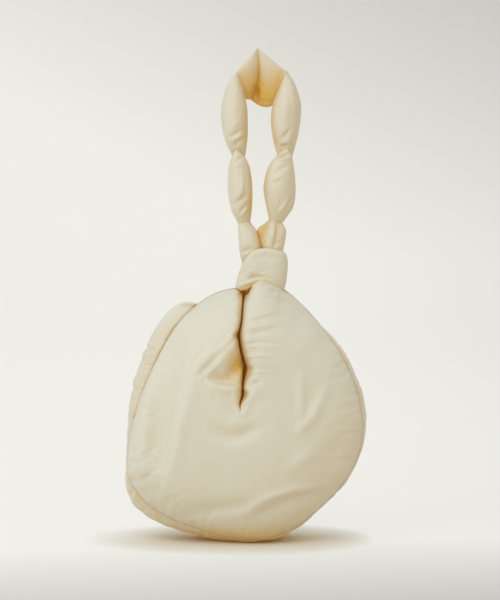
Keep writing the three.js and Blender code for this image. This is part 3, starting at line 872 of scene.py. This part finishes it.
# folds and places of painted warm shade on each cell, as x and height in the view
cellFolds = {
    "left_upper": [
        (-2.2, (1.8, 3), (-19, 462), (-12.5, 465), (-4.5, 471.5)),
        (1.6, (2, 1.5), (-18.5, 458), (-11.5, 461), (-4, 464.5)),
        (-2.4, (1.6, 2.5), (-15, 453), (-9, 456.5), (-1.5, 462.5)),
        (1, (3, 3), (-19.5, 469), (-12.5, 475.5), (-7, 482)),
        (-0.9, (3, 3), (-11.5, 528), (-17, 509), (-19, 486), (-17, 467)),
    ],
    "right_upper": [
        (-2, (2.2, 2.2), (40, 461), (46, 464.5), (52.5, 474)),
        (1.4, (1.6, 1.8), (39, 456), (46, 456.5), (51.5, 460)),
        (-2.2, (1.4, 2), (38, 451.5), (43, 452.5), (48.5, 453.5)),
        (-1, (4, 4), (47, 521), (51, 493), (51.5, 470)),
    ],
    "left_lower": [
        (-2, (2.2, 1.8), (-17, 433), (-10, 436), (-3, 440.5)),
        (0.8, (2, 2), (-16, 430), (-10.5, 430.5), (-6, 432)),
        (1.4, (1.3, 4), (-3, 422), (-3.5, 406), (-6.5, 396), (-14, 389.5)),
        (-2.4, (1.4, 3.2), (-11, 388.5), (-4.5, 392.5), (1.5, 398)),
        (-1.8, (1.6, 2.2), (-7.5, 375.5), (-2.5, 381), (2.5, 387)),
        (1.2, (1.6, 1.6), (-6.5, 370.5), (-2.5, 376.5), (2.5, 382.5)),
        (-0.9, (3, 3), (-16.5, 438), (-18, 415), (-16.5, 392), (-11.5, 374)),
    ],
    "right_lower": [
        (-2, (1.6, 1.8), (34.5, 438.5), (41.5, 440), (49.5, 443.5)),
        (1.2, (1.6, 2), (33.5, 433), (41.5, 436.5), (50.5, 439.5)),
        (-2, (3, 2), (31, 419.5), (39, 424.5), (49.5, 430.5)),
        (1.2, (1.6, 2.4), (30.5, 413.5), (35.5, 415), (41.5, 419)),
        (-1, (1.6, 2.6), (28.5, 409), (34.5, 410.5), (40, 413)),
        (1, (4, 2.5), (30.5, 438), (28.5, 421), (27.5, 401), (30, 385)),
        (1.3, (1.6, 1.6), (37, 374.5), (43.5, 383), (49.5, 393.5)),
        (-1.3, (1.6, 2), (39, 373.5), (47, 383), (53, 394.5)),
        (-1, (1.6, 1.6), (34.5, 376), (38.5, 385), (40, 394.5)),
    ],
    "left_base": [
        (1.2, (4, 4), (0, 364.5), (-2.5, 351), (-3.5, 334.5)),
        (-1.6, (3, 2), (-7, 330), (1, 332.5), (9, 336)),
    ],
    "right_base": [
        (-3.4, (4, 1), (36, 370), (35.5, 355.5), (30.5, 334)),
        (-3, (1, 4), (27.5, 370), (24.5, 355.5), (18.5, 335)),
        (2, (4, 4), (31, 370), (30, 354), (24.5, 335)),
        (-2, (4, 4), (24, 366), (18, 355), (15, 342)),
        (-1.2, (2, 2), (32, 339), (38, 342), (43.5, 346)),
    ],
}
cellPaintedShades = {
    "left_upper": [(0.5, (5, 5), (-1, 484), (0, 466), (-1.5, 453))],
    "right_upper": [
        (0.5, (5, 5), (30, 480), (32, 460), (36, 450)),
        (0.6, (2, 2), (39, 451), (43, 452), (48, 453)),
    ],
    "left_lower": [(0.65, (4, 4), (6, 402), (5, 386), (2.5, 369))],
    "right_lower": [(0.4, (2, 2), (35, 440), (41, 441.5), (48, 444))],
    "left_base": [(0.4, (4, 4), (-9, 316), (0, 322), (10, 334))],
    "right_base": [
        (0.74, (5, 7), (29, 374), (20, 360), (16.5, 348), (16, 332)),
        (0.3, (3, 1.5), (39, 370), (38.5, 356), (33, 334)),
    ],
}
# each row is height, middle across, middle from front to back, half width, half depth
cells = {
    "left_base": [
        (311, 5, 3, 8, 6), (318, 6.4, 1, 10, 8), (327, 6.6, -2, 12.2, 11), (337, 5, -4, 12.3, 13),
        (347, 3.3, -4, 11.5, 13), (358, 1.4, -2, 9.8, 10), (366, -1.6, 0, 6.4, 5), (369, -2.2, 0, 5.4, 2.6),
    ],
    "right_base": [
        (316, 30, 0, 8, 8), (326, 30, 0, 11, 11), (336, 29.6, 0, 12.8, 14), (347, 29.6, 0, 15, 14),
        (358, 29.2, 0, 15.6, 12), (366, 31.4, 0, 9.2, 6), (370, 33, 0, 6.4, 2.6),
    ],
    "left_lower": [
        (364, -1.8, 0, 6, 2.6), (368, -2.6, 0, 7.4, 6), (381, -5.4, 0, 11, 14), (404, -6.7, 0, 13.4, 18.5),
        (428, -8, -1, 11.8, 15), (442, -8.8, -4, 6.6, 8), (449.5, -10.4, -7, 1.4, 2.6),
    ],
    "right_lower": [
        (365, 34.2, 0, 6, 2.6), (371, 36.2, 0, 9, 7), (384, 38.6, 0, 14.6, 15), (407, 38.4, 0, 17.4, 19.5),
        (429, 40.2, -1, 14, 15), (443, 44, -4, 7.8, 8), (451, 46, -7, 1.6, 2.6),
    ],
    "left_upper": [
        (440, -8.4, 2, 6.4, 2.6), (446, -8.8, 2, 8, 7), (457, -10.6, 1, 11, 14), (475, -12.6, 0, 13.8, 19),
        (497, -13.4, 0, 14, 20), (522, -13, -3, 8.6, 13), (533, -11.4, -8, 3, 6), (538, -10.4, -11, 0.8, 2),
    ],
    "right_upper": [
        (438, 45.2, 2, 7.6, 2.6), (445, 44.8, 2, 8.8, 7), (455, 44.6, 1, 11.4, 13), (468, 45, 0, 14.4, 18),
        (486, 45.6, 0, 16.2, 20.5), (504, 47.2, -1, 14.6, 19), (524, 48.2, -4, 7.8, 12), (534, 47, -8, 3, 6),
        (540, 46, -11, 0.8, 2),
    ],
}


def makeTube(name, columns, rows, place):  # place gives the points for shares round and along the tube
    obj, u, v = newGrid(name, columns, rows)
    writePoints(obj, place(u, v) * mm)
    editMesh(obj, mergeDoubles(0.00001), closeEnds(), facesOut())
    return obj


def stationsAt(stations, share):
    line = lineThrough(stations, 20)["samples"]
    height = line[0, 0] + (line[-1, 0] - line[0, 0]) * share
    return height, [np.interp(height, line[:, 0], line[:, k]) for k in (1, 2, 3, 4)]


def makeCell(name, stations):
    look = cellLook

    def place(u, v):
        share = 0.5 - 0.5 * np.cos(np.pi * v)
        z, (x, y, wide, deep) = stationsAt(stations, share)
        turn = 2 * np.pi * u
        full = look["fuller"]
        return np.stack([x + full * wide * np.cos(turn), y + full * deep * np.sin(turn), z], axis=-1)

    obj = makeTube(f"{name}_puff", look["columns"], look["rows"], place)
    points = readPoints(obj) / mm
    low, high = stations[0][0], stations[-1][0]
    _, (x, y, _, _) = stationsAt(stations, (points[:, 2] - low) / (high - low))
    middle = np.stack([x, y, np.full(len(x), (low + high) / 2)], axis=-1)
    cut = middle + (points - middle) * (look["wider"], look["wider"], look["longer"])
    sewn = 1.0 * (np.minimum(points[:, 2] - low, high - points[:, 2]) < look["sewnReach"])
    puffCloth(obj, sewn, cut * mm, look)
    smoother(obj)
    normals = readNormals(obj)
    points = readPoints(obj) / mm
    z, height = points[:, 2], viewHeight(points)
    _, (x, y, wide, deep) = stationsAt(stations, (z - low) / (high - low))
    turn = np.arctan2((points[:, 1] - y) / np.maximum(deep, 0.1), (points[:, 0] - x) / np.maximum(wide, 0.1))
    x = points[:, 0]
    front = easeStep(-normals[:, 1], -0.2, 0.3)
    ends = np.minimum(z - low, high - z)
    count, pitch = look["gathers"]
    gather = ripple(turn * count, pitch, len(name) + int(low)) * np.exp(-ends / look["gatherReach"])
    size, swell = look["lumps"]
    rise = look["gatherRise"] * gather * easeStep(ends, 0, 4)
    rise += lumps(x + points[:, 1], z, size, int(high)) * swell + foldSum(x, height, cellFolds[name]) * front
    writePoints(obj, (points + normals * rise[:, None]) * mm)
    inner = normals[:, 0] if name.startswith("left") else -normals[:, 0]  # the side that looks into the loop
    # painted warm shade on the side that looks into the loop
    tuck = np.maximum(look["innerPaintedShade"] * easeStep(inner, 0.7, 1.0), look["leastPaintedShade"])
    giveAttribute(obj, "tuck", np.maximum(tuck, strongestPaintedShade(x, height, cellPaintedShades[name]) * front))
    giveCreases(obj, turn * 11 + z * 0.4, np.full(len(z), look["creaseShare"]))
    return obj


crownLook = {
    "columns": 72,
    "rows": 48,
    "frontLeft": (-11.5, -12, 535.5),
    "frontRight": (47, -12, 537.5),
    "peak": (12.8, -14, 566),
    "backLeft": (-5, 4, 511),
    "backRight": (35, 5, 502),
    "backMiddle": (5, 19, 507),
    "bow": 6.0,  # how far the middle crease bends to the right on its way down
    "sag": (1.5, 6.0),  # how far the lower edges hang between their ends, left and right
    "thickness": (9, 13, 8),  # at the side, in the middle and at the centre crease
    "overUnder": (1.4, 0.4),  # shares of it that lie over and under the edges
    "fullness": 4.5,
    "fill": 0.6,
    "lumps": (14, 0.8),
    "folds": [
        (-1.6, (1.4, 1.6), (5, 511), (14, 505.5), (23, 503.5), (31, 504)),
        (-0.9, (3, 3), (15, 530), (19, 519), (24, 508)),
        (-1, (2, 2), (12, 524), (8.5, 517), (5, 510)),
    ],
    # painted warm shade, laid out like the folds
    "paintedShades": [
        (0.6, (1.6, 1.6), (12.6, 572), (13.8, 552), (14.4, 536), (14.4, 520)),
        (0.8, (4, 4), (14, 550), (14, 530), (14, 505)),
        (0.9, (10, 12), (14, 538), (14.5, 515), (15, 480)),
        (0.75, (3, 6), (46, 545), (38, 531), (33, 516), (30, 496)),
    ],
    "lowPaintedShade": (552, 508, 0.62),  # painted warm shade from this height down to this one, where it is this strong
    # the least painted warm shade on what looks into the loop
    "leastPaintedShade": 0.16,
}


def makeCrown(name, side):
    look = crownLook
    front = np.array(look["frontLeft"] if side < 0 else look["frontRight"], float)
    back = np.array(look["backLeft"] if side < 0 else look["backRight"], float)
    peak, middle = np.array(look["peak"], float), np.array(look["backMiddle"], float)
    sag = look["sag"][0] if side < 0 else look["sag"][1]
    over, under = look["overUnder"]

    def place(u, v):
        rimFront = front + (peak - front) * v[:, None]
        rimBack = back + (middle - back) * v[:, None]
        rimBack[:, 2] -= sag * np.sin(np.pi * v)
        turn = 2 * np.pi * u
        span = rimFront - rimBack
        out = np.cross(span, (peak + middle - front - back) / 2)
        out /= np.linalg.norm(out, axis=1)[:, None]
        out *= np.sign(out[:, 2:3])  # upwards
        thick = np.interp(v, (0, 0.5, 1), look["thickness"]) / 2
        centre = (rimFront + rimBack) / 2
        puff = look["fullness"] * np.sin(np.pi * np.clip(v, 0, 1)) ** 0.8
        across = np.cos(turn)
        lift = np.sin(turn)
        height = np.where(lift > 0, thick * over * lift, (thick * under + puff) * lift)
        spots = centre + span / 2 * across[:, None] + out * height[:, None]
        spots[:, 0] += look["bow"] * np.sin(np.pi * (across + 1) / 2) * v ** 2
        return spots

    obj = makeTube(name, look["columns"], look["rows"], place)
    points = readPoints(obj) / mm
    normals = readNormals(obj)
    inside = easeStep(-normals[:, 1] * 0.8 - normals[:, 2] * 0.6, -0.2, 0.4)  # what looks into the loop
    height = viewHeight(points)
    x = points[:, 0]
    size, swell = look["lumps"]
    rise = lumps(x, height, size, 81) * swell + foldSum(x, height, look["folds"]) * inside
    writePoints(obj, (points + normals * rise[:, None]) * mm)
    # painted warm shade on what looks into the loop, stronger lower down
    warmFrom, warmTo, warmShare = look["lowPaintedShade"]
    tuck = look["leastPaintedShade"] + warmShare * easeStep(-height, -warmFrom, -warmTo)
    giveAttribute(obj, "tuck", np.maximum(tuck, strongestPaintedShade(x, height, look["paintedShades"])) * inside)
    return obj


# Knot: the short handle, a padded band wrapped round the necks of the long one

knotLook = {
    "columns": 150,
    "rows": 64,
    "middle": (20, 0),
    "reach": (28.5, 21),
    "thickness": 10.0,
    "topEdge": [  # along the band, place across and height
        (-8.5, 310), (-6, 319), (-3, 325), (2.5, 331), (8, 334.5), (14, 336.5), (19, 337), (24, 337),
        (33, 336), (43, 334), (47.5, 331.5), (48.5, 329),
    ],
    "bottomEdge": [
        (-8.5, 290.5), (-3.5, 288.5), (3.5, 289.5), (7, 292), (14, 297), (19.5, 298.5), (25, 297),
        (34.5, 293), (44.5, 289), (48.5, 288.5),
    ],
    "ends": [  # height, and the place of the left and right ends there
        (287, -14, 44.6), (296, -11.5, 45.8), (304, -9.4, 47), (312, -8.4, 47.8), (320, -8, 48.4),
        (328, -8, 48.4), (337, -8, 47),
    ],
    "squareness": (0.7, 0.55, 0.42),  # seen from above, and up and out across the band; 1 is round
    "fill": 0.5,
    "lumps": (14, 1.2),
    "creaseShare": 0.3,
    "folds": [
        (-3, (2, 1.6), (-9, 296.5), (1, 300.5), (10.5, 302.5), (26, 302)),
        (2, (1.8, 2.4), (-11, 291.5), (0, 295.5), (10, 299)),
        (-2.6, (2.4, 1.6), (-7.5, 303), (0, 309.5), (10, 314.5)),
        (1.8, (1.6, 2.2), (-8.5, 299), (1, 305.5), (13, 311)),
        (-1.2, (3, 3), (10, 306), (24, 311), (42, 311)),
        (-0.9, (4, 4), (6, 322), (20, 326), (40, 323)),
    ],
    # painted warm shade in the fold at the lower left corner
    "paintedShades": [(0.6, (2.5, 2.5), (-9, 289), (-2, 288), (6, 290))],
}


def makeKnot():
    look = knotLook
    obj, u, v = newGrid("knot", look["columns"], look["rows"])
    (midX, midY), (reachX, reachY) = look["middle"], look["reach"]
    plan, upright, outright = look["squareness"]
    turn, roll = 2 * np.pi * u, 2 * np.pi * v

    def square(wave, power):
        return np.sign(wave) * np.abs(wave) ** power

    x = midX + reachX * square(np.cos(turn), plan)
    y = midY + reachY * square(np.sin(turn), plan)
    top, bottom = readRows(look["topEdge"], x)[0], readRows(look["bottomEdge"], x)[0]
    z = (top + bottom) / 2 + (top - bottom) / 2 * square(np.sin(roll), upright)
    push = look["thickness"] / 2 * (square(np.cos(roll), outright) - 1)
    share = (x + np.cos(turn) * push - midX + reachX) / (2 * reachX)
    leftEnd, rightEnd = readRows(look["ends"], z)
    x = leftEnd + (rightEnd - leftEnd) * share
    writePoints(obj, np.stack([x, y + np.sin(turn) * push, z], axis=-1) * mm)
    editMesh(obj, mergeDoubles(), facesOut())
    points = readPoints(obj) / mm
    normals = readNormals(obj)
    front = easeStep(-normals[:, 1], -0.1, 0.3)
    x, height = points[:, 0], viewHeight(points)
    size, swell = look["lumps"]
    rise = lumps(x + points[:, 1], points[:, 2], size, 71) * swell + foldSum(x, height, look["folds"]) * front
    writePoints(obj, (points + normals * rise[:, None]) * mm)
    # painted warm shade at the folded corner
    giveAttribute(obj, "tuck", strongestPaintedShade(x, height, look["paintedShades"]))
    giveCreases(obj, height - 0.35 * x, look["creaseShare"] * front)
    return obj


neckLook = {
    "left": [(274, 10.6, 0, 6, 8), (290, 10.6, 0, 8, 10), (315, 10.4, 0, 8.4, 11), (333, 9, 0, 8, 10)],
    "right": [(274, 29.4, 0, 6, 8), (290, 29.4, 0, 8, 10), (315, 29.6, 0, 8.4, 11), (333, 30.4, 0, 8, 10)],
    "pleats": 9,
    "pleatDepth": 0.8,
    "fill": 0.8,
    # even painted warm shade on the gathers
    "paintedShadeMark": 0.5,
}


def makeNeck(side):
    stations = neckLook[side]

    def place(u, v):
        z, (x, y, wide, deep) = stationsAt(stations, v)
        turn = 2 * np.pi * u
        pleat = neckLook["pleatDepth"] * (np.abs(np.sin(turn * neckLook["pleats"] / 2)) - 0.5)
        return np.stack([x + (wide + pleat) * np.cos(turn), y + (deep + pleat) * np.sin(turn), z], axis=-1)

    return makeTube(f"{side}_neck_gather", 72, 16, place)


def makeHandle():
    for name, stations in cells.items():
        obj = makeCell(name, stations)
        smoother(obj)
        level = name.split("_")[1]
        finishPiece(obj, f"handle_{level}", [f"{name}_cell", f"{name}_filling"])
    for name, side in (("left", -1), ("right", 1)):
        obj = makeCrown(f"crown_{name}_puff", side)
        smoother(obj)
        finishPiece(obj, "handle_crown", [f"crown_{name}_cell", f"crown_{name}_filling"])
        obj = makeNeck(name)
        # the gathers get an even painted warm shade
        giveAttribute(obj, "tuck", np.full(len(obj.data.vertices), neckLook["paintedShadeMark"]))
        finishPiece(obj, "handle_neck", [f"{name}_neck"])
    obj = makeKnot()
    finishPiece(obj, "bag", ["knot_loop"])
    print("handle and knot made")


makeHandle()


# Linings: the inner fabric, one sheet for each panel and one for the gusset

liningLook = {
    "inset": 14,
    "panelFlat": (0.25, 0.27),
    "panelArea": 0.054,
    "gussetFlat": (0.062, 0.70),
    "colour": (226, 216, 188),
    "roughness": 0.6,
    "weaveScale": 700.0,
}


def liningFabric():
    look = liningLook
    finish = Finish(bpy.data.materials.new("cream_lining"))
    weave = finish.noise(look["weaveScale"], 1.0)
    bump = finish.node("ShaderNodeBump", {}, {"Strength": 0.15, "Distance": 0.0006, "Height": weave})
    finish.feed({"Base Color": linear(*look["colour"]), "Roughness": look["roughness"], "Normal": bump})
    return finish.owner


def makeLinings():
    look = liningLook
    material = liningFabric()
    for name, facing in (("front", -1), ("back", 1)):
        obj, u, v = newGrid(f"{name}_lining_sheet", 120, 40)
        wall = panelLook["wallShare"]
        points, _ = panelPoints(wall + (1 - 2 * wall) * u, v, facing, look["inset"])
        writePoints(obj, points * mm)
        editMesh(obj, mergeDoubles(), facesOut())
        finishPiece(obj, "bag", [f"{name}_lining"], material)
    obj, u, v = newGrid("gusset_lining_sheet", 160, 12)
    writePoints(obj, gussetPoints(u, v, look["inset"]) * mm)
    editMesh(obj, facesOut())
    finishPiece(obj, "bag", ["gusset_lining"], material)
    print("linings made")


makeLinings()


# Studio: pale floor, soft light from the upper left, camera a little above the middle

studio = {
    "floor": (238, 236, 228),
    "floorGlow": (247, 249, 245),
    "floorSize": (16, 14),
    "sweep": (2.6, 1.5),  # where the level floor starts to sweep up behind the bag, and in what radius
    "glowShare": 0.7,
    "glowLevel": 1.03,
    "glowPaintedFalloff": (0.22, 0.45, 1.0),  # painted falloff of the glow: what it loses for each metre to the right, up and towards the camera
    "fadeFrom": 0.15,  # how high the loss upwards starts
    "nearest": -0.45,  # nearer than this it loses no more
    # over this reach under the bag the glow gives way, a painted contact shade
    "contactShadeReach": 0.07,
    "distance": 3.2,
    "aim": (4.6, 0, 277),
    "frameHeight": 690,
    "keyPlace": (-0.95, -1.65, 1.85),
    "keyAim": (0, 0, 0.2),
    "keyPower": 17.5,
    "keySize": 1.6,
    "keyColour": (248, 251, 255),
    "ambient": 0.76,
    "airFront": (234, 220, 195),
    "airBehind": (250, 250, 248),
    "airShares": (0.3, 0.4, 0.3, 0.45),  # what left, behind and above add to the bright air, and the rest
    "wallPlace": (0, 1.2, 2.6),
    "wallAim": (0, 4.2, 0.9),
    "wallPower": 14,
    "wallSize": 2.5,
}


def makeStudio():
    look = studio
    bpy.ops.object.select_all(action="DESELECT")
    bpy.ops.mesh.primitive_plane_add(size=1)
    floor = bpy.context.object
    floor.name = "floor"
    editMesh(floor, lambda: bpy.ops.mesh.subdivide(number_cuts=40))
    points = readPoints(floor)
    start, radius = look["sweep"]
    level = points[:, 1] * look["floorSize"][1]
    turn = np.clip((level - start) / radius, 0, math.pi / 2)
    points[:, 0] *= look["floorSize"][0]
    points[:, 1] = np.minimum(level, start) + radius * np.sin(turn)
    points[:, 2] = radius * (1 - np.cos(turn)) + np.maximum(level - start - radius * math.pi / 2, 0)
    writePoints(floor, points)

    # to the camera it glows with a painted falloff, except close under the bag, where it gives way to the
    # real shading as a painted contact shade
    paper = Finish(bpy.data.materials.new("pale_paper"))
    paper.feed({"Base Color": linear(*look["floor"]), "Roughness": 0.9})
    seen = paper.node("ShaderNodeLightPath", {}, {}, "Is Camera Ray")
    clear = paper.node("ShaderNodeAmbientOcclusion", {"samples": 8}, {"Distance": look["contactShadeReach"]}, "AO")
    across, ahead, up = paper.parts(paper.place())
    aside, rise, near = look["glowPaintedFalloff"]
    climb = paper.largest(up - look["fadeFrom"], 0.0)
    closer = paper.clamp(ahead, look["nearest"], 0.0)
    fade = look["glowLevel"] - across * aside - climb * rise + closer * near
    tone = paper.mix(fade, (0, 0, 0, 1), linear(*look["floorGlow"]))
    glow = paper.node("ShaderNodeEmission", {}, {"Color": tone, "Strength": 1.0})
    paper.cover(seen * clear ** 4.0 * look["glowShare"], glow)
    floor.data.materials.append(paper.owner)
    bpy.ops.object.shade_smooth()

    def softBox(name, place, power, size, target):
        bpy.ops.object.light_add(type="AREA", location=place)
        lamp = bpy.context.object
        lamp.name = name
        lamp.data.energy = power
        lamp.data.size = size
        lamp.rotation_euler = (Vector(target) - Vector(place)).to_track_quat("-Z", "Y").to_euler()
        return lamp

    key = softBox("key_light", look["keyPlace"], look["keyPower"], look["keySize"], look["keyAim"])
    key.data.color = linear(*look["keyColour"])[:3]
    softBox("wall_light", look["wallPlace"], look["wallPower"], look["wallSize"], look["wallAim"])

    # the air is warm and dim in front of the bag, neutral and brighter behind and above
    scene.world = bpy.data.worlds.new("studio_air")
    air = Finish(scene.world, "Background")
    beside, behind, above = air.parts(air.node("ShaderNodeTexCoord", {}, {}, "Generated"))
    left, back, high, rest = look["airShares"]
    share = air.clamp(behind * back + above * high - beside * left + rest)
    tone = air.mix(share, linear(*look["airFront"]), linear(*look["airBehind"]))
    air.feed({"Color": tone, "Strength": look["ambient"]})

    bpy.ops.object.camera_add()
    camera = bpy.context.object
    aim = Vector(look["aim"]) * mm
    camera.location = aim + Vector((0, -math.cos(viewTilt), math.sin(viewTilt))) * look["distance"]
    camera.rotation_euler = (aim - camera.location).to_track_quat("-Z", "Y").to_euler()
    camera.data.sensor_fit = "VERTICAL"
    camera.data.sensor_height = camera.data.sensor_width = 36
    camera.data.lens = 36 * look["distance"] / (look["frameHeight"] * mm)
    scene.camera = camera
    scene.view_settings.view_transform = "Standard"
    print("studio ready")


makeStudio()
